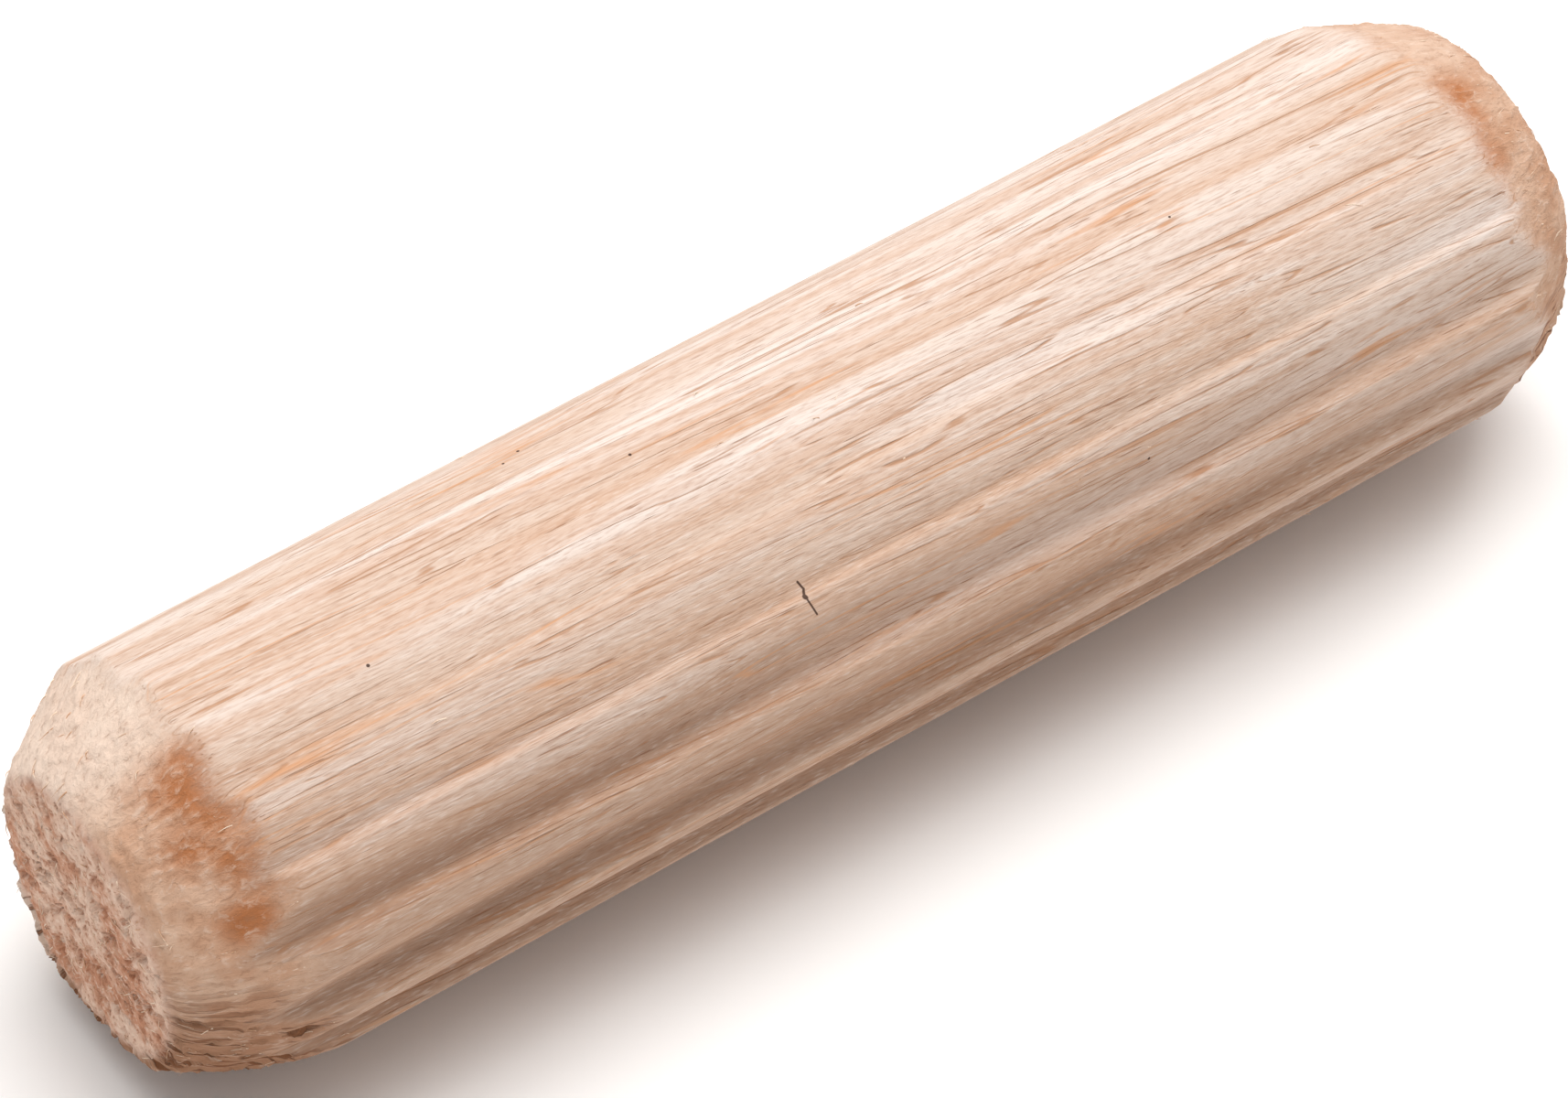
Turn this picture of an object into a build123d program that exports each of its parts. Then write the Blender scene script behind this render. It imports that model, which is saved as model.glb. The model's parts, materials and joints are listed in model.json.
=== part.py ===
"""Fluted wooden dowel pin.

One solid of beech: a round pin with straight glue flutes pressed along its full length and a
bevelled lead-in at each end.  The pin lies along X with its centre at the origin and +Z up.
"""
from build123d import *

import os
from math import sqrt

# Overall size, mm.
pin_diameter = 8.0
pin_length = 30.0

# Bevelled ends.
end_face_diameter = 5.4
bevel_length = 2.1
bevel_crown = 0.2
rim_radius = 0.5

# Glue flutes.  One flute faces straight down, so the pin lies on the two lands beside it.
flute_count = 16
flute_depth = 0.28
flute_width = 1.08
resting_flute_angle = -90

# Radii and stations worked out from the sizes above.
pin_radius = pin_diameter / 2
half_length = pin_length / 2
end_face_radius = end_face_diameter / 2
half_flute_width = flute_width / 2
# Height of the pin's own round over the chord between a flute's two edges.
chord_rise = pin_radius - sqrt(pin_radius**2 - half_flute_width**2)
# The flute's round bottom passes both edges and lies flute_depth below the lands.
flute_sag = flute_depth - chord_rise
flute_radius = (half_flute_width**2 + flute_sag**2) / (2 * flute_sag)
flute_centre_radius = pin_radius - flute_depth + flute_radius

same_height = 1e-6

with BuildPart() as dowel_pin:
    # Half outline of the pin, its bevels slightly crowned, turned about its own axis.
    with BuildSketch(Plane.XZ) as outline:
        with BuildLine():
            low_end = Line((-half_length, 0), (-half_length, end_face_radius))
            low_bevel = SagittaArc(low_end @ 1, (bevel_length - half_length, pin_radius), bevel_crown)
            shank = Line(low_bevel @ 1, (half_length - bevel_length, pin_radius))
            high_bevel = SagittaArc(shank @ 1, (half_length, end_face_radius), bevel_crown)
            Polyline(high_bevel @ 1, (half_length, 0), low_end @ 0)
        make_face()
        # Worn rim between each end face and its bevel.
        rims = outline.vertices().filter_by(lambda corner: abs(corner.Y - end_face_radius) < same_height)
        fillet(rims, radius=rim_radius)
    revolve(axis=Axis.X)

    # Straight flutes from end to end; they run out where the bevels fall below them.
    with BuildSketch(Plane.YZ.offset(-half_length)):
        with PolarLocations(flute_centre_radius, flute_count, start_angle=resting_flute_angle):
            Circle(flute_radius)
    extrude(amount=pin_length, mode=Mode.SUBTRACT)

dowel_pin.part.label = "dowel_pin"

os.makedirs("parts", exist_ok=True)
export_step(dowel_pin.part, "parts/dowel_pin.step")
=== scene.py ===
"""Looks of a fluted beech dowel pin lying on a pale bench top.

The pin is one pressed and bevelled length of beech.  Its wood is one closed mesh grown by a
Geometry Nodes tree: lands and flutes, torn bevels, rims rubbed round and sawn end grain.  Its radius, length
and bevel length come from the frame.  A second tree raises the loose fibres that stand on the cut
ends and along the lands.
"""
import json
import logging
import math
from dataclasses import dataclass, field
from enum import Enum
from typing import Optional, Sequence, Union

import bpy
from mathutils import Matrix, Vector


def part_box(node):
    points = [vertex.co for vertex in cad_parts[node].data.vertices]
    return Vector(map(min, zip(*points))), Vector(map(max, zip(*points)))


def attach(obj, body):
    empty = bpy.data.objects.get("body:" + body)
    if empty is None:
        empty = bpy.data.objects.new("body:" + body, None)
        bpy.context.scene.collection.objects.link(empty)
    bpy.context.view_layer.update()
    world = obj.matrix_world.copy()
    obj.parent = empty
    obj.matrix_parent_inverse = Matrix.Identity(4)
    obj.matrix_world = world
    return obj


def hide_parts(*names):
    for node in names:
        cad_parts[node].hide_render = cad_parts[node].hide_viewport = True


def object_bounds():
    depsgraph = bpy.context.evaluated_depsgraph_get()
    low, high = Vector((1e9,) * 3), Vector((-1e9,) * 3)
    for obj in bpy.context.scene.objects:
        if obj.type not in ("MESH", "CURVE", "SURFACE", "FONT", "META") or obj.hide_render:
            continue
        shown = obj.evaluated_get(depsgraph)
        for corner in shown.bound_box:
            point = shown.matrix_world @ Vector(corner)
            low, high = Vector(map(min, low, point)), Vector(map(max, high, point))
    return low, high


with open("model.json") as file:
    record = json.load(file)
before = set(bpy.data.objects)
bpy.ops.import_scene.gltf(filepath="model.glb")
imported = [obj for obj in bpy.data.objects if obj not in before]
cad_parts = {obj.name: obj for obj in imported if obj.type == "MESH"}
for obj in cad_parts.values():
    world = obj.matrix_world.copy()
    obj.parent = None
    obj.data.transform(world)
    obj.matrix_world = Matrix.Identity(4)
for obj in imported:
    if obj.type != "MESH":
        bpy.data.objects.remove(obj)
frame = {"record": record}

CAD_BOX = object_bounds()
MM = 0.001
# Radius in millimetres of the cylinder that spots and combed fibres are laid out on.
WRAP_RADIUS = 3.9
LOG = logging.getLogger("dowel_pin")


class Zone(Enum):
    """Marks that the wood's mesh carries, each named after its attribute."""

    LAND = "land"
    BEVEL = "bevel"
    FACE = "face"


def paint(red: float, green: float, blue: float) -> tuple[float, float, float, float]:
    """Turn a screen colour into the linear colour that a shader works in.

    Args:
        red: Red, 0 to 255.
        green: Green, 0 to 255.
        blue: Blue, 0 to 255.

    Returns:
        The linear colour with a full alpha.
    """
    def linear(part: float) -> float:
        """Undo the screen curve for one part of the colour."""
        part /= 255
        return part / 12.92 if part <= 0.04045 else ((part + 0.055) / 1.055) ** 2.4

    return linear(red), linear(green), linear(blue), 1.0


class Wire:
    """One value on its way through a node tree, so that a formula can be written as one."""

    def __init__(self, bench: "Bench", socket: bpy.types.NodeSocket) -> None:
        """Keep the tree's bench and the socket that gives the value."""
        self.bench = bench
        self.socket = socket

    def __add__(self, other: "Value") -> "Wire":
        """Sum."""
        return self.bench.math("ADD", self, other)

    def __radd__(self, other: "Value") -> "Wire":
        """Sum with a plain number on the left."""
        return self.bench.math("ADD", other, self)

    def __sub__(self, other: "Value") -> "Wire":
        """Difference."""
        return self.bench.math("SUBTRACT", self, other)

    def __rsub__(self, other: "Value") -> "Wire":
        """Difference from a plain number."""
        return self.bench.math("SUBTRACT", other, self)

    def __mul__(self, other: "Value") -> "Wire":
        """Product."""
        return self.bench.math("MULTIPLY", self, other)

    def __rmul__(self, other: "Value") -> "Wire":
        """Product with a plain number on the left."""
        return self.bench.math("MULTIPLY", other, self)

    def __truediv__(self, other: "Value") -> "Wire":
        """Quotient."""
        return self.bench.math("DIVIDE", self, other)

    def __rtruediv__(self, other: "Value") -> "Wire":
        """Quotient of a plain number."""
        return self.bench.math("DIVIDE", other, self)

    def __abs__(self) -> "Wire":
        """Size without its sign."""
        return self.bench.math("ABSOLUTE", self)


Value = Union[Wire, float]


class Bench:
    """Builds the nodes of one tree, of geometry or of a shader."""

    def __init__(self, tree: bpy.types.NodeTree) -> None:
        """Work on this tree."""
        self.tree = tree

    def node(self, kind: str, **settings: object) -> bpy.types.Node:
        """Add a node.

        Args:
            kind: The node's Blender type.
            **settings: Properties to set on it.

        Returns:
            The new node.
        """
        made = self.tree.nodes.new(kind)
        for name, value in settings.items():
            setattr(made, name, value)
        return made

    def feed(self, socket: bpy.types.NodeSocket, value: object) -> None:
        """Put a wire or a plain value on an input.

        Args:
            socket: The input socket.
            value: A wire, a socket or a plain value.
        """
        if isinstance(value, Wire):
            self.tree.links.new(value.socket, socket)
        elif isinstance(value, bpy.types.NodeSocket):
            self.tree.links.new(value, socket)
        else:
            socket.default_value = value

    def math(self, operation: str, *values: Value, clamp: bool = False) -> Wire:
        """Work out one step of arithmetic.

        Args:
            operation: The Math node's operation.
            *values: Up to three operands.
            clamp: Whether to keep the result from 0 to 1.

        Returns:
            The result.
        """
        made = self.node("ShaderNodeMath", operation=operation, use_clamp=clamp)
        for socket, value in zip(made.inputs, values):
            self.feed(socket, value)
        return Wire(self, made.outputs[0])

    def smooth_min(self, one: Value, other: Value, reach: Value) -> Wire:
        """The smaller of two values, rounded over where they meet."""
        return self.math("SMOOTH_MIN", one, other, reach)

    def smooth_max(self, one: Value, other: Value, reach: Value) -> Wire:
        """The larger of two values, rounded over where they meet."""
        return self.math("SMOOTH_MAX", one, other, reach)

    def sine(self, angle: Value) -> Wire:
        """Sine."""
        return self.math("SINE", angle)

    def cosine(self, angle: Value) -> Wire:
        """Cosine."""
        return self.math("COSINE", angle)

    def vector(self, x: Value, y: Value, z: Value) -> Wire:
        """Join three numbers into a vector."""
        made = self.node("ShaderNodeCombineXYZ")
        for socket, value in zip(made.inputs, (x, y, z)):
            self.feed(socket, value)
        return Wire(self, made.outputs[0])

    def parts(self, vector: Wire) -> tuple[Wire, Wire, Wire]:
        """Split a vector into its three numbers."""
        made = self.node("ShaderNodeSeparateXYZ")
        self.feed(made.inputs[0], vector)
        return Wire(self, made.outputs[0]), Wire(self, made.outputs[1]), Wire(self, made.outputs[2])

    def vector_math(self, operation: str, *values: object) -> Wire:
        """Work out one step of vector arithmetic.

        Args:
            operation: The Vector Math node's operation.
            *values: Its operands.  The last one of a SCALE is a number.

        Returns:
            The result, which is a number for a distance or a dot product.
        """
        made = self.node("ShaderNodeVectorMath", operation=operation)
        sockets = (made.inputs[0], made.inputs["Scale"]) if operation == "SCALE" else made.inputs
        for socket, value in zip(sockets, values):
            self.feed(socket, value)
        number = operation in ("DISTANCE", "DOT_PRODUCT")
        return Wire(self, made.outputs["Value" if number else "Vector"])

    def stretch(self, vector: Wire, by: Sequence[float], shift: Sequence[float] = (0, 0, 0)) -> Wire:
        """Scale and shift a vector along each axis.

        Args:
            vector: The vector.
            by: Factor along X, Y and Z.
            shift: What is added after the scaling.

        Returns:
            The stretched vector.
        """
        made = self.node("ShaderNodeVectorMath", operation="MULTIPLY_ADD")
        self.feed(made.inputs[0], vector)
        self.feed(made.inputs[1], tuple(by))
        self.feed(made.inputs[2], tuple(shift))
        return Wire(self, made.outputs[0])

    def noise(self, vector: Wire, detail: float = 2.0, roughness: float = 0.5, bend: float = 0.0) -> Wire:
        """Soft noise of one feature a unit.

        Args:
            vector: Where to read it.
            detail: How many finer layers it has.
            roughness: How strong each finer layer is.
            bend: How far it is distorted by itself.

        Returns:
            A value about 0.5, from 0 to 1.
        """
        made = self.node("ShaderNodeTexNoise", noise_dimensions="3D")
        self.feed(made.inputs["Vector"], vector)
        made.inputs["Scale"].default_value = 1.0
        made.inputs["Detail"].default_value = detail
        made.inputs["Roughness"].default_value = roughness
        made.inputs["Distortion"].default_value = bend
        return Wire(self, made.outputs[0])

    def fade(self, value: Value, start: Value, end: Value, low: Value = 0.0, high: Value = 1.0) -> Wire:
        """Ease from one level to another as a value passes from start to end.

        Args:
            value: The driving value.
            start: Where the change begins.
            end: Where it is complete.
            low: Level before.
            high: Level after.

        Returns:
            The eased level.
        """
        made = self.node("ShaderNodeMapRange", interpolation_type="SMOOTHSTEP")
        for socket, given in zip(made.inputs, (value, start, end, low, high)):
            self.feed(socket, given)
        return Wire(self, made.outputs[0])

    def between(self, factor: Value, low: Value, high: Value) -> Wire:
        """Number part-way from low to high."""
        made = self.node("ShaderNodeMix", data_type="FLOAT")
        for socket, given in zip(made.inputs[:1] + made.inputs[2:4], (factor, low, high)):
            self.feed(socket, given)
        return Wire(self, made.outputs[0])

    def tint(self, factor: Value, under: object, over: object) -> Wire:
        """Lay one colour over another.

        Args:
            factor: How much of it shows.
            under: The colour below.
            over: The colour on top.

        Returns:
            The mixed colour.
        """
        made = self.node("ShaderNodeMix", data_type="RGBA")
        self.feed(made.inputs[0], factor)
        self.feed(made.inputs[6], under)
        self.feed(made.inputs[7], over)
        return Wire(self, made.outputs[2])

    def blend(self, factor: Value, one: Wire, other: Wire) -> Wire:
        """Mix two shaders."""
        made = self.node("ShaderNodeMixShader")
        for socket, given in zip(made.inputs, (factor, one, other)):
            self.feed(socket, given)
        return Wire(self, made.outputs[0])


class SurfaceTree(Bench):
    """A material's node tree, patterned on the object's own coordinates."""

    def __init__(self, name: str) -> None:
        """Start an empty material.

        Args:
            name: The material's name.
        """
        self.material = bpy.data.materials.new(name)
        self.material.use_nodes = True
        super().__init__(self.material.node_tree)
        self.tree.nodes.clear()
        source = self.node("ShaderNodeTexCoord")
        self.place = self.stretch(Wire(self, source.outputs["Object"]), (1 / MM,) * 3)

    def matt(self, colour: Wire, roughness: Value, gloss: float, height: Optional[Wire] = None) -> Wire:
        """Make a plain opaque shader.

        Args:
            colour: Its colour.
            roughness: How rough it is.
            gloss: Its specular level.
            height: Its relief in millimetres, if it has any.

        Returns:
            The shader.
        """
        shader = self.node("ShaderNodeBsdfPrincipled")
        self.feed(shader.inputs["Base Color"], colour)
        self.feed(shader.inputs["Roughness"], roughness)
        self.feed(shader.inputs["Specular IOR Level"], gloss)
        if height is not None:
            bump = self.node("ShaderNodeBump")
            bump.inputs["Distance"].default_value = MM
            self.feed(bump.inputs["Height"], height)
            self.feed(shader.inputs["Normal"], bump.outputs[0])
        return Wire(self, shader.outputs[0])

    def done(self, surface: Wire) -> bpy.types.Material:
        """Put the shader on the material's output.

        Args:
            surface: The finished shader.

        Returns:
            The material.
        """
        self.feed(self.node("ShaderNodeOutputMaterial").inputs[0], surface)
        return self.material


# --------------------------------------------------------------------------------------------------
# Finishes
# --------------------------------------------------------------------------------------------------


@dataclass(frozen=True)
class LongGrain:
    """Colours of dry beech seen along the grain."""

    cream: tuple = paint(225, 209, 199)
    tan: tuple = paint(212, 188, 171)
    # Painted shade for the wood's -Y side and underside.
    painted_underside_shade: tuple = paint(190, 158, 136)
    land: tuple = paint(231, 219, 211)
    band: tuple = paint(202, 166, 141)
    line: tuple = paint(180, 133, 100)
    ochre: tuple = paint(206, 152, 112)
    dash: tuple = paint(150, 98, 64)
    # Painted shade for the flute floors on the darker side.
    painted_flute_shade: tuple = paint(146, 108, 84)
    mark: tuple = paint(62, 38, 28)


@dataclass(frozen=True)
class CutGrain:
    """Colours of the bevels, where the cutter went across the fibres."""

    pale: tuple = paint(217, 182, 157)
    bruise: tuple = paint(202, 158, 129)
    # Pale fibres, and the painted light on the bevels' upper side.
    bloom: tuple = paint(238, 218, 202)
    # Dark fibres, and the painted shade on the bevels' underside and high end.
    shade: tuple = paint(158, 113, 84)
    rust: tuple = paint(176, 112, 70)
    gap: tuple = paint(122, 76, 46)


@dataclass(frozen=True)
class EndGrain:
    """Colours of the sawn end faces."""

    pale: tuple = paint(226, 192, 170)
    red: tuple = paint(198, 142, 112)
    rim: tuple = paint(224, 192, 180)
    bloom: tuple = paint(240, 216, 198)
    pore: tuple = paint(160, 102, 72)


@dataclass(frozen=True)
class Mark:
    """A spot on the wood, told by where it lies along and round the pin."""

    along: float
    turn: float
    size: float

    def centre(self, radius: float) -> tuple[float, float, float]:
        """Middle of the spot on a cylinder of this radius.

        Args:
            radius: The cylinder's radius.

        Returns:
            The point, in the radius's own unit.
        """
        turn = math.radians(self.turn)
        return self.along, radius * math.cos(turn), radius * math.sin(turn)


@dataclass(frozen=True)
class BeechFinish:
    """Dry, unfinished beech: long grain on the shank, cut grain on bevels and end faces."""

    long_grain: LongGrain = field(default_factory=LongGrain)
    cut_grain: CutGrain = field(default_factory=CutGrain)
    end_grain: EndGrain = field(default_factory=EndGrain)
    specks: tuple = (
        Mark(-4.86, 62, 0.036), Mark(-5.25, 64, 0.032), Mark(-3.57, 85, 0.036), Mark(-9.74, 104, 0.04),
        Mark(4.77, 152, 0.036), Mark(-2.31, 140.2, 0.055), Mark(7.3, 98, 0.03), Mark(-8.2, 252, 0.04),
        Mark(2.6, 24, 0.036), Mark(9.4, 310, 0.04),
    )
    crack: tuple = (
        Mark(-2.31, 136.0, 0.03), Mark(-2.25, 138.4, 0.034), Mark(-2.32, 140.2, 0.026),
        Mark(-2.24, 145.4, 0.018),
    )
    scorches: tuple = (
        Mark(-13.35, 107, 1.2), Mark(-13.1, 118, 1.6), Mark(-13.0, 129, 1.4), Mark(-13.6, 121, 1.1),
        Mark(-13.5, 148, 0.75),
        Mark(13.45, 103, 0.75), Mark(13.3, 112, 0.8), Mark(13.1, 124, 0.8), Mark(12.95, 133, 0.65),
        Mark(-13.3, 318, 1.1), Mark(13.3, 262, 1.0),
    )
    wrap_radius: float = WRAP_RADIUS
    gloss: float = 0.22
    shank_roughness: float = 0.74
    bevel_roughness: float = 0.82
    face_roughness: float = 0.86

    def material(self) -> bpy.types.Material:
        """Build the wood's material.

        Returns:
            The material, patterned on the object's own coordinates.
        """
        bench = SurfaceTree("dry beech")
        place = bench.place
        land, on_bevel, on_face = (self._zone(bench, zone) for zone in Zone)
        x, y, z = bench.parts(place)
        wrap = self.wrap_radius / bench.math("SQRT", y * y + z * z)
        wrapped = bench.vector(x, y * wrap, z * wrap)
        colour, height = self._shank(bench, place, wrapped, land)
        shank = bench.matt(colour, self.shank_roughness, self.gloss, height)
        colour, height = self._bevel(bench, place, wrapped, on_face)
        bevel = bench.matt(colour, self.bevel_roughness, self.gloss, height)
        colour, height = self._face(bench, place)
        face = bench.matt(colour, self.face_roughness, self.gloss, height)
        return bench.done(bench.blend(on_face, bench.blend(on_bevel, shank, bevel), face))

    @staticmethod
    def _zone(bench: Bench, zone: Zone) -> Wire:
        """How far a point lies in a zone, 0 to 1."""
        source = bench.node("ShaderNodeAttribute", attribute_name=zone.value)
        return Wire(bench, source.outputs["Fac"])

    def _spots(self, bench: Bench, wrapped: Wire, marks: Sequence[Mark], soft: float) -> Wire:
        """How far a point lies in any of some spots, 0 to 1.

        Args:
            bench: The material's bench.
            wrapped: Position on the wrapping cylinder, in millimetres.
            marks: The spots.
            soft: Share of a spot's size over which it fades.

        Returns:
            The strongest spot's amount.
        """
        most: Value = 0.0
        for mark in marks:
            gap = bench.vector_math("DISTANCE", wrapped, mark.centre(self.wrap_radius))
            most = bench.math("MAXIMUM", most, bench.fade(gap, mark.size, mark.size * (1 - soft)))
        return most

    def _split(self, bench: Bench, wrapped: Wire) -> Wire:
        """How far a point lies in the fine crack across the grain, 0 to 1."""
        most: Value = 0.0
        for start, end in zip(self.crack, self.crack[1:]):
            low, high = Vector(start.centre(self.wrap_radius)), Vector(end.centre(self.wrap_radius))
            run = high - low
            from_low = bench.stretch(wrapped, (1, 1, 1), tuple(-low))
            along = bench.vector_math("DOT_PRODUCT", from_low, tuple(run / run.length_squared))
            share = bench.math("MULTIPLY", along, 1.0, clamp=True)
            foot = bench.vector_math("SCALE", tuple(run), share)
            gap = bench.vector_math("DISTANCE", from_low, foot)
            most = bench.math("MAXIMUM", most, bench.fade(gap, start.size, start.size * 0.4))
        return most

    def _shank(self, bench: Bench, place: Wire, wrapped: Wire, land: Wire) -> tuple[Wire, Wire]:
        """Long grain of the shank.

        Args:
            bench: The material's bench.
            place: Position in millimetres.
            wrapped: Position on the wrapping cylinder.
            land: How far a point lies on a land.

        Returns:
            Its colour and its height in millimetres.
        """
        wood = self.long_grain
        x, y, z = bench.parts(place)
        waver = (bench.noise(bench.stretch(place, (0.1, 0.35, 0.35), (7, 3, 1)), 1) - 0.5) * 0.7
        # The fibres run a little off the pin's axis.
        grain = bench.vector(x, y + x * 0.035 + waver, z + x * 0.015 - waver)
        tone = bench.noise(bench.stretch(grain, (0.05, 0.6, 0.6)), 2)
        colour = bench.tint(bench.fade(tone, 0.38, 0.62), wood.cream, wood.tan)
        colour = bench.tint(land * 0.45, colour, wood.land)
        # Painted shade: the wood is darker towards -Y and underneath, the sides turned from the overhead
        # lamp.
        side = y * -0.8 - z * 0.6 - x * 0.13 + (tone - 0.5) * 4
        colour = bench.tint(bench.fade(side, -0.8, 3.6, 0, 0.95), colour, wood.painted_underside_shade)
        # Painted shade: on that darker side the flute floors are darker still, where their walls shade them.
        colour = bench.tint((1 - land) * bench.fade(side, 0.8, 3.6, 0, 0.38), colour, wood.painted_flute_shade)
        band = bench.noise(bench.stretch(grain, (0.07, 2.6, 2.6), (3, 0, 5)), 2)
        colour = bench.tint(bench.fade(band, 0.45, 0.66, 0, 0.62), colour, wood.band)
        line = bench.noise(bench.stretch(grain, (0.17, 10, 10), (0, 8, 0)), 2, 0.55)
        colour = bench.tint(bench.fade(line, 0.5, 0.68, 0, 0.32), colour, wood.line)
        felt = bench.noise(bench.stretch(grain, (3.2, 26, 26), (1, 2, 3)), 1, 0.7)
        colour = bench.tint(bench.fade(felt, 0.48, 0.72, 0, 0.28), colour, wood.dash)
        colour = bench.tint(bench.fade(felt, 0.46, 0.26, 0, 0.3), colour, wood.land)
        # Crisp threads between fibres.
        seam = bench.noise(bench.stretch(grain, (0.13, 3.4, 3.4), (6, 2, 11)), 1)
        thread = bench.fade(abs(seam - 0.5), 0.022, 0.004) * bench.fade(line, 0.44, 0.58, 0.3, 1)
        colour = bench.tint(thread * 0.75, colour, wood.line)
        # Thin ochre streaks, several millimetres long.
        streak = bench.noise(bench.stretch(grain, (0.07, 1.7, 1.7), (15, 4, 6)), 1)
        where = bench.noise(bench.stretch(grain, (0.2, 0.7, 0.7), (1, 14, 3)), 0)
        ochre = bench.fade(abs(streak - 0.5), 0.022, 0.002) * bench.fade(where, 0.46, 0.6)
        ochre = ochre * bench.fade(line, 0.4, 0.56, 0.4, 1.0)
        colour = bench.tint(ochre * (0.75 - land * 0.3), colour, wood.ochre)
        # Short dark vessels along the grain.
        vessel = bench.noise(bench.stretch(grain, (0.55, 15, 15), (2, 5, 9)), 2, 0.6)
        dash = bench.fade(vessel, 0.66, 0.74, 0, 0.62)
        colour = bench.tint(dash, colour, wood.dash)
        specks = self._spots(bench, wrapped, self.specks, 0.35)
        spots = bench.math("MAXIMUM", specks, self._split(bench, wrapped))
        colour = bench.tint(spots * 0.92, colour, wood.mark)
        height = line * -0.024 - felt * 0.012 - thread * 0.01 - dash * 0.014
        return colour, height

    def _bevel(self, bench: Bench, place: Wire, wrapped: Wire, on_face: Wire) -> tuple[Wire, Wire]:
        """Torn cut grain of the bevels.

        Args:
            bench: The material's bench.
            place: Position in millimetres.
            wrapped: Position on the wrapping cylinder.
            on_face: How far a point lies on an end face.

        Returns:
            Its colour and its height in millimetres.
        """
        cut = self.cut_grain
        mottle = bench.noise(bench.stretch(place, (0.9, 1.2, 1.2), (5, 5, 5)), 2, 0.55)
        colour = bench.tint(bench.fade(mottle, 0.38, 0.62), cut.pale, cut.bruise)
        x, y, z = bench.parts(place)
        low = bench.fade(z, 1.6, -1.2)
        # Underneath, the fibres lie combed along the bevel; above, they are torn short.
        comb = bench.between(low, 1.0, self.wrap_radius / bench.math("SQRT", y * y + z * z))
        combed = bench.vector(x, y * comb, z * comb)
        fibre = bench.noise(bench.stretch(combed, (2.2, 7, 7), (3, 3, 3)), 4, 0.66, 0.3)
        # Painted shade: the bevel is darker underneath towards the low end, and a little darker all round
        # towards the high end.
        painted_bevel_shade = low * bench.fade(x, 4, -8, 0.15, 0.9) + bench.fade(x, 2, 12, 0, 0.3)
        colour = bench.tint(bench.math("MINIMUM", painted_bevel_shade, 1.0), colour, cut.shade)
        # Painted light: the bevel is paler towards +Y and on top, most at the low end.
        painted_light_side = bench.fade(y + z * 0.3, -0.2, 1.6) * bench.fade(x, 4, -8, 0.2, 0.7)
        colour = bench.tint(painted_light_side, colour, cut.bloom)
        uneven = bench.fade(mottle + fibre, 0.84, 1.06, 0.7, 1.0)
        scorch = bench.math("MULTIPLY", self._spots(bench, wrapped, self.scorches, 0.75), uneven, clamp=True)
        colour = bench.tint(scorch, colour, cut.rust)
        colour = bench.tint(bench.fade(fibre, 0.52, 0.7, 0, 0.4), colour, cut.shade)
        colour = bench.tint(bench.fade(fibre, 0.47, 0.3, 0, 0.3), colour, cut.bloom)
        colour = bench.tint(on_face * 0.6, colour, self.end_grain.rim)
        gap = bench.noise(bench.stretch(wrapped, (1.0, 5.6, 5.6), (9, 1, 2)), 2, 0.55)
        hole = bench.fade(gap, 0.53, 0.59, 0, 0.9) * low
        colour = bench.tint(hole, colour, cut.gap)
        height = fibre * -0.07 - hole * 0.05
        return colour, height

    def _face(self, bench: Bench, place: Wire) -> tuple[Wire, Wire]:
        """Sawn end grain.

        Args:
            bench: The material's bench.
            place: Position in millimetres.

        Returns:
            Its colour and its height in millimetres.
        """
        end = self.end_grain
        mottle = bench.noise(bench.stretch(place, (0.5, 0.9, 0.9), (2, 8, 4)), 3, 0.6)
        colour = bench.tint(bench.fade(mottle, 0.38, 0.62), end.pale, end.red)
        grit = bench.noise(bench.stretch(place, (4, 7.5, 7.5), (6, 3, 1)), 3, 0.68)
        colour = bench.tint(bench.fade(grit, 0.53, 0.66, 0, 0.7), colour, end.pore)
        colour = bench.tint(bench.fade(grit, 0.48, 0.36, 0, 0.5), colour, end.bloom)
        return colour, grit * -0.07


@dataclass(frozen=True)
class FibreFinish:
    """Loose beech fibres, lighter than the wood that they stand on."""

    root: tuple = paint(196, 152, 118)
    tip: tuple = paint(240, 220, 198)
    gloss: float = 0.3

    def material(self) -> bpy.types.Material:
        """Build the fibres' material.

        Returns:
            The material.
        """
        bench = SurfaceTree("loose beech fibre")
        tone = bench.noise(bench.stretch(bench.place, (2.5, 4, 4)), 3, 0.6)
        colour = bench.tint(bench.fade(tone, 0.4, 0.62), self.root, self.tip)
        return bench.done(bench.matt(colour, bench.fade(tone, 0.3, 0.7, 0.55, 0.8), self.gloss))


@dataclass(frozen=True)
class BenchTopFinish:
    """Matt, nearly white bench top."""

    white: tuple = paint(250, 249, 248)
    shade: tuple = paint(246, 245, 244)
    roughness: float = 0.9
    gloss: float = 0.1

    def material(self) -> bpy.types.Material:
        """Build the bench top's material.

        Returns:
            The material.
        """
        bench = SurfaceTree("pale bench top")
        tone = bench.noise(bench.stretch(bench.place, (0.03, 0.03, 0.03)), 2)
        colour = bench.tint(tone, self.white, self.shade)
        return bench.done(bench.matt(colour, self.roughness, self.gloss))


# --------------------------------------------------------------------------------------------------
# Geometry trees
# --------------------------------------------------------------------------------------------------


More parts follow.
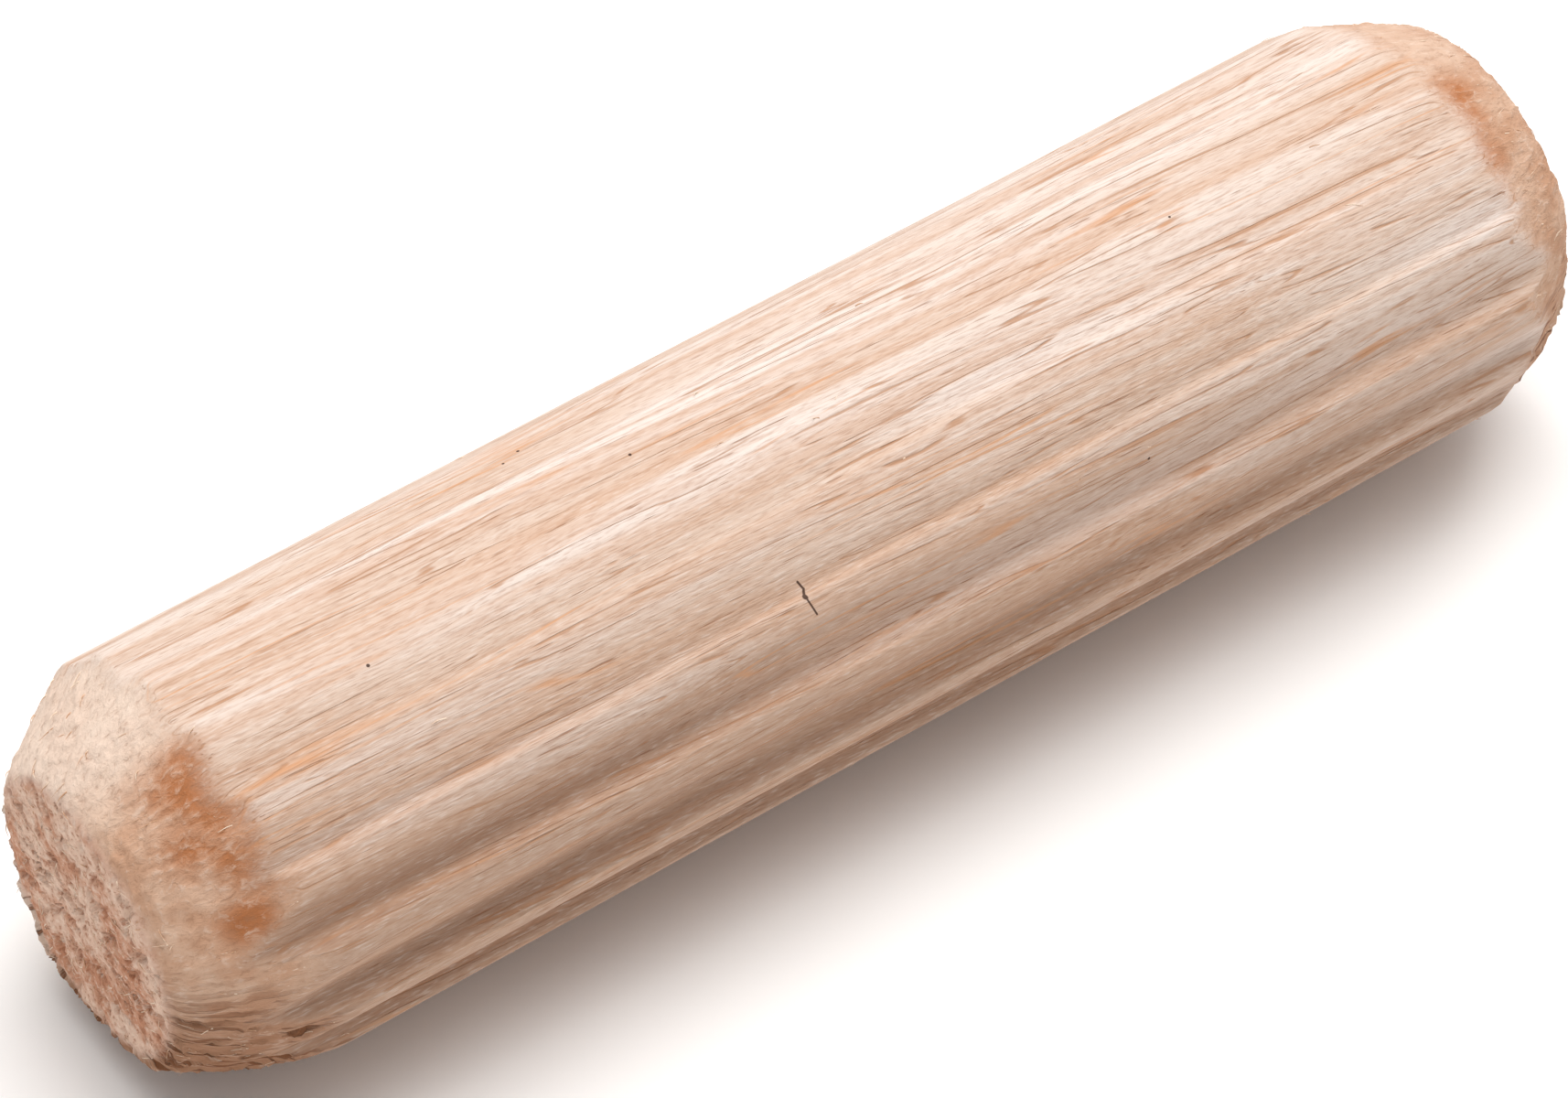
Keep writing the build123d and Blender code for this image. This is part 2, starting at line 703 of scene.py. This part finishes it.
class GrowthTree(Bench):
    """A Geometry Nodes tree with named inputs."""

    def __init__(self, name: str) -> None:
        """Start an empty tree with one geometry input and one geometry output.

        Args:
            name: The tree's name.
        """
        super().__init__(bpy.data.node_groups.new(name, "GeometryNodeTree"))
        face = self.tree.interface
        face.new_socket("Geometry", in_out="INPUT", socket_type="NodeSocketGeometry")
        face.new_socket("Geometry", in_out="OUTPUT", socket_type="NodeSocketGeometry")
        self.inlet = self.node("NodeGroupInput")
        self.outlet = self.node("NodeGroupOutput")

    def numbers(self, sizes: dict[str, float]) -> list[Wire]:
        """Add a named input for each size, of whole numbers where the size is one.

        Args:
            sizes: Value of each input, by name.

        Returns:
            The inputs' values, in the same order.
        """
        for name, value in sizes.items():
            kind = "NodeSocketInt" if isinstance(value, int) else "NodeSocketFloat"
            self.tree.interface.new_socket(name, in_out="INPUT", socket_type=kind)
        return [Wire(self, self.inlet.outputs[name]) for name in sizes]

    def dice(self, seed: Wire, low: float, high: float, index: Optional[Wire] = None) -> Wire:
        """A random number between two levels for each point, or for each index.

        Args:
            seed: The seed.
            low: The lower level.
            high: The upper level.
            index: What to draw by, in place of the point's own number.

        Returns:
            The number.
        """
        made = self.node("FunctionNodeRandomValue", data_type="FLOAT")
        made.inputs[2].default_value = low
        made.inputs[3].default_value = high
        self.feed(made.inputs["Seed"], seed)
        if index is not None:
            self.feed(made.inputs["ID"], index)
        return Wire(self, made.outputs[1])

    def store(self, geometry: bpy.types.NodeSocket, zone: Zone, value: Wire) -> bpy.types.NodeSocket:
        """Write a zone mark on every vertex.

        Args:
            geometry: The mesh.
            zone: Which mark.
            value: The mark's value.

        Returns:
            The marked mesh.
        """
        made = self.node("GeometryNodeStoreNamedAttribute", data_type="FLOAT", domain="POINT")
        self.feed(made.inputs["Geometry"], geometry)
        self.feed(made.inputs["Name"], zone.value)
        self.feed(made.inputs["Value"], value)
        return made.outputs[0]

    def keep(self, geometry: bpy.types.NodeSocket, **values: Wire) -> tuple[bpy.types.NodeSocket, list[Wire]]:
        """Work values out on a mesh as it is now, and carry them along as it changes.

        Args:
            geometry: The mesh.
            **values: The values, by name.

        Returns:
            The mesh, and the kept values in the same order.
        """
        made = self.node("GeometryNodeCaptureAttribute", domain="POINT")
        self.feed(made.inputs["Geometry"], geometry)
        for slot, (name, value) in enumerate(values.items(), start=1):
            made.capture_items.new("FLOAT", name)
            self.feed(made.inputs[slot], value)
        kept = [Wire(self, made.outputs[slot]) for slot in range(1, len(values) + 1)]
        return made.outputs[0], kept

    def place(self) -> Wire:
        """Where each point is."""
        return Wire(self, self.node("GeometryNodeInputPosition").outputs[0])

    def put(self, geometry: bpy.types.NodeSocket, position: Optional[Wire] = None,
            offset: Optional[Wire] = None) -> bpy.types.NodeSocket:
        """Move the mesh's points.

        Args:
            geometry: The mesh.
            position: New positions, if given.
            offset: What is added, if given.

        Returns:
            The moved mesh.
        """
        made = self.node("GeometryNodeSetPosition")
        self.feed(made.inputs["Geometry"], geometry)
        if position is not None:
            self.feed(made.inputs["Position"], position)
        if offset is not None:
            self.feed(made.inputs["Offset"], offset)
        return made.outputs[0]

    def boxed(self, geometry: bpy.types.NodeSocket, half_length: Wire, limit: Wire) -> bpy.types.NodeSocket:
        """Keep every point inside the pin's own box.

        Args:
            geometry: The mesh.
            half_length: How far it may reach along X.
            limit: How far it may reach along Y and Z.

        Returns:
            The mesh, with nothing past the box.
        """
        def held(value: Wire, most: Wire) -> Wire:
            """Keep a coordinate within a limit on both sides."""
            return self.math("MINIMUM", self.math("MAXIMUM", value, most * -1), most)

        x, y, z = self.parts(self.place())
        return self.put(geometry, self.vector(held(x, half_length), held(y, limit), held(z, limit)))

    def finish(self, geometry: bpy.types.NodeSocket, material: bpy.types.Material) -> None:
        """End the tree: true size in metres, smooth, realised and dressed.

        Args:
            geometry: The finished shape in millimetres.
            material: What it is made of.
        """
        resize = self.node("GeometryNodeTransform")
        self.feed(resize.inputs["Geometry"], geometry)
        resize.inputs["Scale"].default_value = (MM, MM, MM)
        smooth = self.node("GeometryNodeSetShadeSmooth")
        self.feed(smooth.inputs[0], resize.outputs[0])
        real = self.node("GeometryNodeRealizeInstances")
        self.feed(real.inputs[0], smooth.outputs[0])
        dress = self.node("GeometryNodeSetMaterial")
        self.feed(dress.inputs["Geometry"], real.outputs[0])
        dress.inputs["Material"].default_value = material
        self.feed(self.outlet.inputs[0], dress.outputs[0])

    def grow(self, name: str, start: bpy.types.Mesh, sizes: dict[str, float]) -> bpy.types.Object:
        """Run the tree once and keep its result as a plain mesh object.

        Args:
            name: Name of the piece.
            start: Mesh that the tree starts from.
            sizes: Value of each named input.

        Returns:
            The piece, with no modifier left on it.
        """
        carrier = bpy.data.objects.new(name + "_carrier", start)
        bpy.context.scene.collection.objects.link(carrier)
        modifier = carrier.modifiers.new("growth", "NODES")
        modifier.node_group = self.tree
        for item in self.tree.interface.items_tree:
            if item.in_out == "INPUT" and item.name in sizes:
                modifier[item.identifier] = sizes[item.name]
        bpy.context.view_layer.update()
        grown = carrier.evaluated_get(bpy.context.evaluated_depsgraph_get())
        mesh = bpy.data.meshes.new_from_object(grown)
        mesh.name = name
        bpy.data.objects.remove(carrier)
        piece = bpy.data.objects.new(name, mesh)
        bpy.context.scene.collection.objects.link(piece)
        return piece


@dataclass(frozen=True)
class CutEnd:
    """How one bevelled end differs from a true one.  Turns are in degrees, shifts in millimetres."""

    tilt: float
    tilt_turn: float
    wave: float
    flat_turn: float
    face_shift: tuple


@dataclass
class PinWood:
    """The pin's wood, from end to end.  Sizes are in millimetres.

    Flute, bevel crown and end values below are the look's own, and not the solid's.
    """

    radius: float
    half_length: float
    bevel_length: float
    height_limit: float
    end_face_radius: float = 2.7
    bevel_crown: float = 0.42
    flute_count: int = 16
    flute_depth: float = 0.18
    flute_width: float = 1.2
    flute_lean: float = -0.55
    # Factors on a flute's depth: on top and below, at the sides, and its loss for each millimetre of X.
    shallow_bite: float = 0.42
    deep_bite: float = 2.15
    bite_fall: float = 0.015
    land_round: float = 0.12
    rim_round: float = 0.5
    flute_turn: float = math.radians(3)
    low_end: CutEnd = CutEnd(tilt=0.28, tilt_turn=172, wave=0.1, flat_turn=40, face_shift=(0.1, -0.14))
    high_end: CutEnd = CutEnd(tilt=0.08, tilt_turn=36, wave=0.06, flat_turn=215, face_shift=(0.0, 0.1))
    around: int = 384
    along: int = 196
    rings: int = 24
    seed: int = 4

    def build(self, finish: BeechFinish) -> bpy.types.Object:
        """Grow the wood.

        Args:
            finish: What it is dressed in.

        Returns:
            The piece.
        """
        tree = GrowthTree("fluted pin")
        sizes = {
            "Radius": self.radius,
            "Half Length": self.half_length,
            "Bevel Length": self.bevel_length,
            "End Face Radius": self.end_face_radius,
            "Flute Count": self.flute_count,
            "Flute Depth": self.flute_depth,
            "Flute Width": self.flute_width,
            "Height Limit": self.height_limit,
            "Seed": self.seed,
            "Around": self.around,
            "Along": self.along,
            "Rings": self.rings,
        }
        (radius, half_length, bevel_length, face_radius, count, depth, width, limit,
         seed, around, along, rings) = tree.numbers(sizes)

        blank = tree.node("GeometryNodeMeshCylinder", fill_type="TRIANGLE_FAN")
        tree.feed(blank.inputs["Vertices"], around)
        tree.feed(blank.inputs["Side Segments"], along)
        tree.feed(blank.inputs["Fill Segments"], rings)
        blank.inputs["Radius"].default_value = 1.0
        blank.inputs["Depth"].default_value = 2.0

        across, up, reach = tree.parts(tree.place())
        angle = tree.math("ARCTAN2", up, across)
        share = tree.math("SQRT", across * across + up * up)
        station = abs(reach)
        side = tree.math("SIGN", reach)
        turn = tree.vector(tree.cosine(angle), tree.sine(angle), side)

        # Outline: a straight shank, then radius falling from just over full size to nothing.
        shank_share = 0.6
        spare = 0.12
        ring_radius = face_radius * 0.97
        wander = tree.noise(tree.stretch(turn, (1.6, 1.6, 3.7), (0, 0, 11)), 3, 0.6) - 0.5
        top = radius + spare
        past_full = tree.math("DIVIDE", spare, radius - face_radius)
        # Each bevel is longer on one side than on the other.
        at_low = tree.math("LESS_THAN", reach, 0.0)
        low, high = self.low_end, self.high_end

        def by_end(low_value: float, high_value: float) -> Wire:
            """One value at the low end, another at the high end."""
            return at_low * (low_value - high_value) + high_value

        lean_turn = by_end(math.radians(low.tilt_turn), math.radians(high.tilt_turn))
        flat_turn = by_end(math.radians(low.flat_turn), math.radians(high.flat_turn))
        lean = tree.cosine(angle - lean_turn) * by_end(low.tilt, high.tilt)
        wave = tree.cosine((angle - flat_turn) * 2) * by_end(low.wave, high.wave)
        bevel_run = bevel_length * (1 + lean + wave)
        past_bevel = bevel_run + 4 * self.bevel_crown * past_full
        bevel_start = half_length - past_bevel * (1 + past_full)
        on_shank = tree.math("DIVIDE", station, shank_share, clamp=True)
        on_bevel = tree.math("DIVIDE", station - shank_share, 1 - shank_share, clamp=True)
        outline_radius = tree.between(on_bevel, top, ring_radius) * share
        inset = (outline_radius - face_radius) / (radius - face_radius)
        flat_side = tree.math("MAXIMUM", tree.cosine(angle - flat_turn), 0.0) * by_end(1.0, 0.5)
        crown = tree.math("MAXIMUM", inset, 0.0) * (1 - inset) * self.bevel_crown * 4 * (1 - flat_side)
        cut = half_length - inset * bevel_run + crown + wander * 0.5 * (0.15 + on_bevel * 0.85)
        rim = tree.smooth_min(half_length, cut, self.rim_round)
        length = tree.between(tree.math("GREATER_THAN", station, shank_share), on_shank * bevel_start, rim)

        # Flutes, evenly spaced, one of them close to straight below.
        turns = (angle + math.pi / 2 + self.flute_turn) * count / (2 * math.pi)
        nearest = tree.math("ROUND", turns)
        index = tree.math("FLOORED_MODULO", nearest, count)
        drift_at = tree.vector(length * side * 0.13, index * 7.3, 0.0)
        drift = (tree.noise(drift_at, 2) - 0.5) * 0.16
        aside = (turns - nearest) * (2 * math.pi) * radius / count + drift
        uneven = tree.between(tree.dice(seed, 0.0, 1.0, index), 0.82, 1.12)
        pressed = tree.noise(tree.stretch(drift_at, (1, 1, 1), (30, 0, 4)), 2)
        half_width = width * (0.44 + 0.12 * pressed)
        # One wall of a flute is steeper than the other.
        across_flute = tree.math("MINIMUM", tree.math("MAXIMUM", aside / half_width, -1.9), 1.9)
        leant = (across_flute + self.flute_lean) / (1 + across_flute * self.flute_lean)
        hollow = 1 - leant * leant
        groove = tree.smooth_max(0.0, hollow, self.land_round)
        # Flutes are deeper at the sides than on top and below, and deeper at the low end.
        bite = tree.fade(abs(tree.cosine(angle)), 0.68, 0.93, self.shallow_bite, self.deep_bite)
        bite = bite * (1 - length * side * self.bite_fall)
        floor = radius - 0.012 - groove * depth * uneven * bite
        section = tree.smooth_min(outline_radius, floor, 0.08)
        x = length * side
        near_face = tree.fade(inset, 1.0, 0.0)
        bowed = tree.vector(
            x,
            section * tree.cosine(angle) + near_face * by_end(low.face_shift[0], high.face_shift[0]),
            section * tree.sine(angle) + near_face * by_end(low.face_shift[1], high.face_shift[1]),
        )

        # Zones, read from the outline before the blank is shaped.
        past_shank = tree.math("GREATER_THAN", station, shank_share)
        bevel = tree.fade(outline_radius - floor, 0.1, -0.25) * past_shank
        face = tree.fade(outline_radius, face_radius + 0.1, face_radius - 0.3) * past_shank
        land = tree.fade(groove, 0.28, 0.02) * (1 - bevel)
        marked, (bevel, face, land) = tree.keep(blank.outputs["Mesh"], bevel=bevel, face=face, land=land)
        shape = tree.put(marked, bowed)

        # Relief, cut into the surface along its normal.
        place = tree.place()
        normal = tree.node("GeometryNodeInputNormal").outputs[0]
        swell = tree.noise(tree.stretch(place, (0.12, 0.3, 0.3), (5, 1, 2)), 1)
        fibre = tree.noise(tree.stretch(place, (0.14, 3.4, 3.4), (0, 2, 0)), 2, 0.6)
        long_cut = swell * 0.04 + fibre * 0.03 - 0.008
        lump = tree.noise(tree.stretch(place, (0.7, 0.8, 0.8), (3, 9, 5)), 2, 0.55) - 0.5
        crumb = tree.noise(tree.stretch(place, (1.3, 3.4, 3.4), (1, 4, 8)), 3, 0.6, 0.3) - 0.5
        px, py, pz = tree.parts(place)
        under = tree.fade(pz, 1.4, -1.2, 0.2, 1.0)
        out_of_axis = WRAP_RADIUS / tree.math("SQRT", py * py + pz * pz)
        flat_out = tree.vector(px, py * out_of_axis, pz * out_of_axis)
        slit = tree.noise(tree.stretch(flat_out, (0.9, 3.4, 3.4), (2, 2, 7)), 2, 0.6)
        gash = tree.fade(slit, 0.56, 0.66) * under
        curl = tree.noise(tree.stretch(place, (0.9, 1.1, 1.1), (12, 3, 4)), 1, 0.5, 0.5)
        crest = tree.fade(abs(curl - 0.5), 0.04, 0.0)
        bevel_cut = (lump * 0.15 + crumb * 0.13 + gash * 0.12 - crest * 0.08) * by_end(1.0, 0.45) + 0.05
        pit = tree.fade(tree.noise(tree.stretch(place, (0.8, 2.4, 2.4), (6, 6, 1)), 3, 0.65), 0.52, 0.64)
        face_cut = lump * 0.2 + crumb * 0.14 + pit * 0.14 + 0.05
        depth_cut = tree.between(face, tree.between(bevel, long_cut, bevel_cut), face_cut)
        shape = tree.put(shape, offset=tree.vector_math("SCALE", normal, depth_cut * -1))

        shape = tree.boxed(shape, half_length, limit)
        shape = tree.store(shape, Zone.LAND, land)
        shape = tree.store(shape, Zone.BEVEL, bevel)
        shape = tree.store(shape, Zone.FACE, face)
        tree.finish(shape, finish.material())
        return tree.grow("pin_wood", bpy.data.meshes.new("pin_blank"), sizes)


@dataclass
class LooseFibres:
    """Fibres that stand loose on the cut ends and, here and there, along the lands.  In millimetres."""

    half_length: float
    height_limit: float
    bevel_density: float = 2.5
    face_density: float = 7.0
    land_density: float = 0.3
    length: float = 0.25
    thickness: float = 0.012
    lift: float = 0.07
    seed: int = 11

    def build(self, wood: bpy.types.Object, finish: FibreFinish) -> bpy.types.Object:
        """Grow the fibres out of the wood's surface.

        Args:
            wood: The wood that they stand on.
            finish: What they are dressed in.

        Returns:
            The piece.
        """
        tree = GrowthTree("loose fibres")
        sizes = {
            "Bevel Density": self.bevel_density,
            "Face Density": self.face_density,
            "Land Density": self.land_density,
            "Length": self.length,
            "Thickness": self.thickness,
            "Half Length": self.half_length,
            "Height Limit": self.height_limit,
            "Seed": self.seed,
        }
        on_bevel, on_face, on_land, length, thickness, half_length, limit, seed = tree.numbers(sizes)

        surface = tree.node("GeometryNodeTransform")
        tree.feed(surface.inputs["Geometry"], tree.inlet.outputs["Geometry"])
        surface.inputs["Scale"].default_value = (1 / MM,) * 3
        bevel, face, land = (self._mark(tree, zone) for zone in (Zone.BEVEL, Zone.FACE, Zone.LAND))
        scatter = tree.node("GeometryNodeDistributePointsOnFaces", distribute_method="RANDOM")
        tree.feed(scatter.inputs["Mesh"], surface.outputs[0])
        tree.feed(scatter.inputs["Density"], bevel * (1 - face) * on_bevel + face * on_face + land * on_land)
        tree.feed(scatter.inputs["Seed"], seed)

        # One fibre: a tapered, bent needle one unit long, its root a little below the surface.
        needle = tree.node("GeometryNodeMeshCone", fill_type="NGON")
        shape = {"Vertices": 5, "Side Segments": 5, "Radius Top": 0.25, "Radius Bottom": 1.0, "Depth": 1.0}
        for name, value in shape.items():
            needle.inputs[name].default_value = value
        x, y, z = tree.parts(tree.place())
        bow = tree.vector(x + z * z * 3, y + tree.sine(z * 4) * 1.5, z - 0.12)
        bent = tree.put(needle.outputs["Mesh"], bow)

        # A fibre lies along the surface, roughly with the grain, and only its tip lifts off.
        px, _, _ = tree.parts(tree.place())
        stray = tree.node("FunctionNodeRandomValue", data_type="FLOAT_VECTOR")
        stray.inputs["Min"].default_value = (-0.35, -0.6, -0.6)
        stray.inputs["Max"].default_value = (0.35, 0.6, 0.6)
        tree.feed(stray.inputs["Seed"], seed)
        outwards = scatter.outputs["Normal"]
        along_pin = tree.vector(tree.math("SIGN", px), 0.0, 0.0)
        heading = tree.vector_math("ADD", along_pin, stray.outputs["Value"])
        through = tree.vector_math("DOT_PRODUCT", heading, outwards)
        back = tree.vector_math("SCALE", outwards, through * -1 + self.lift)
        aim = tree.node("FunctionNodeAlignRotationToVector", axis="Z")
        tree.feed(aim.inputs["Vector"], tree.vector_math("ADD", heading, back))

        reach = tree.dice(seed + 1.0, 0.45, 1.5) * length
        girth = tree.dice(seed + 2.0, 0.6, 1.35) * thickness
        place = tree.node("GeometryNodeInstanceOnPoints")
        tree.feed(place.inputs["Points"], scatter.outputs["Points"])
        tree.feed(place.inputs["Instance"], bent)
        tree.feed(place.inputs["Rotation"], aim.outputs[0])
        tree.feed(place.inputs["Scale"], tree.vector(girth, girth, reach))
        real = tree.node("GeometryNodeRealizeInstances")
        tree.feed(real.inputs[0], place.outputs[0])

        tree.finish(tree.boxed(real.outputs[0], half_length, limit), finish.material())
        return tree.grow("loose_fibres", wood.data, sizes)

    @staticmethod
    def _mark(tree: GrowthTree, zone: Zone) -> Wire:
        """Read a zone mark off the wood."""
        made = tree.node("GeometryNodeInputNamedAttribute", data_type="FLOAT")
        tree.feed(made.inputs["Name"], zone.value)
        return Wire(tree, made.outputs["Attribute"])


@dataclass
class Studio:
    """Bench top, lights and camera."""

    floor_half: float = 0.9
    view_turn: float = math.radians(35.62)
    view_height: float = math.radians(48.37)
    view_distance: float = 0.12369
    lens: float = 161.85
    aim: tuple = (-0.000551, 0.000067, -0.000236)
    sensor: float = 36.0
    room_colour: tuple = (1.0, 0.992, 0.982, 1.0)
    room_light: float = 0.46

    def build(self, floor_height: float, finish: BenchTopFinish) -> None:
        """Set the pin on its bench top and light it.

        Args:
            floor_height: Height of the bench top.
            finish: What the bench top is made of.
        """
        self._floor(floor_height, finish)
        self._lights()
        self._camera()
        scene = bpy.context.scene
        scene.view_settings.view_transform = "Standard"
        scene.view_settings.look = "None"
        scene.view_settings.exposure = 0.0

    def _floor(self, height: float, finish: BenchTopFinish) -> None:
        """Lay the bench top."""
        edge = self.floor_half
        mesh = bpy.data.meshes.new("bench_top")
        corners = [(-edge, -edge, height), (edge, -edge, height), (edge, edge, height), (-edge, edge, height)]
        mesh.from_pydata(corners, [], [(0, 1, 2, 3)])
        mesh.materials.append(finish.material())
        floor = bpy.data.objects.new("bench_top", mesh)
        bpy.context.scene.collection.objects.link(floor)

    def _lights(self) -> None:
        """Hang a wide soft light overhead and let the room fill the rest."""
        world = bpy.data.worlds.new("white room")
        world.use_nodes = True
        shade = world.node_tree.nodes["Background"]
        shade.inputs["Color"].default_value = self.room_colour
        shade.inputs["Strength"].default_value = self.room_light
        bpy.context.scene.world = world
        self._lamp("overhead", (0.06, 0.06, 0.43), 0.4, 2.14, (1.0, 0.992, 0.984))
        self._lamp("far_side", (0.34, 0.16, 0.3), 0.2, 0.4, (1.0, 0.98, 0.96))

    @staticmethod
    def _lamp(name: str, place: tuple, size: float, power: float, colour: tuple) -> None:
        """Hang one soft square lamp aimed at the pin.

        Args:
            name: The lamp's name.
            place: Where it hangs.
            size: Length of its sides.
            power: Its power in watts.
            colour: Its colour.
        """
        data = bpy.data.lights.new(name, "AREA")
        data.shape = "SQUARE"
        data.size = size
        data.energy = power
        data.color = colour
        lamp = bpy.data.objects.new(name, data)
        lamp.location = place
        lamp.rotation_euler = (-Vector(place)).to_track_quat("-Z", "Y").to_euler()
        bpy.context.scene.collection.objects.link(lamp)

    def _camera(self) -> None:
        """Look down on the pin from its near end."""
        data = bpy.data.cameras.new("bench_camera")
        data.lens = self.lens
        data.sensor_width = self.sensor
        data.clip_start = 0.005
        data.clip_end = 5.0
        level = math.cos(self.view_height) * self.view_distance
        away = Vector((
            -math.sin(self.view_turn) * level,
            -math.cos(self.view_turn) * level,
            math.sin(self.view_height) * self.view_distance,
        ))
        camera = bpy.data.objects.new("bench_camera", data)
        camera.location = Vector(self.aim) + away
        camera.rotation_euler = (-away).to_track_quat("-Z", "Y").to_euler()
        bpy.context.scene.collection.objects.link(camera)
        bpy.context.scene.camera = camera


@dataclass
class DowelPin:
    """The whole pin: its wood and the fibres that stand on it."""

    node: str = "dowel_pin"
    slot: str = "beech"

    def build(self) -> list[bpy.types.Object]:
        """Make every piece, dress it and let it ride on the pin.

        Returns:
            The pieces.
        """
        low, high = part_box(self.node)
        shank = next(mount for mount in frame["record"]["mounts"] if mount["name"] == "shank")
        half_length = high[0] / MM
        wood = PinWood(
            radius=shank["dims"]["r_mm"],
            half_length=half_length,
            bevel_length=half_length - shank["dims"]["length_mm"] / 2,
            height_limit=min(high[1], high[2]) / MM,
        ).build(BeechFinish())
        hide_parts(self.node)
        fibres = LooseFibres(
            half_length=half_length,
            height_limit=min(high[1], high[2]) / MM,
        ).build(wood, FibreFinish())
        pieces = [wood, fibres]
        for piece in pieces:
            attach(piece, "root")
        return pieces


def write_sizes() -> None:
    """Bring the view layer up to date."""
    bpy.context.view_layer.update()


def main() -> None:
    """Build the pin, then the studio round it."""
    logging.basicConfig(level=logging.INFO, format="%(name)s: %(message)s")
    for piece in DowelPin().build():
        LOG.info("%s: %d vertices, %d faces", piece.name, len(piece.data.vertices), len(piece.data.polygons))
    Studio().build(CAD_BOX[0][2], BenchTopFinish())
    write_sizes()


if __name__ == "__main__":
    main()
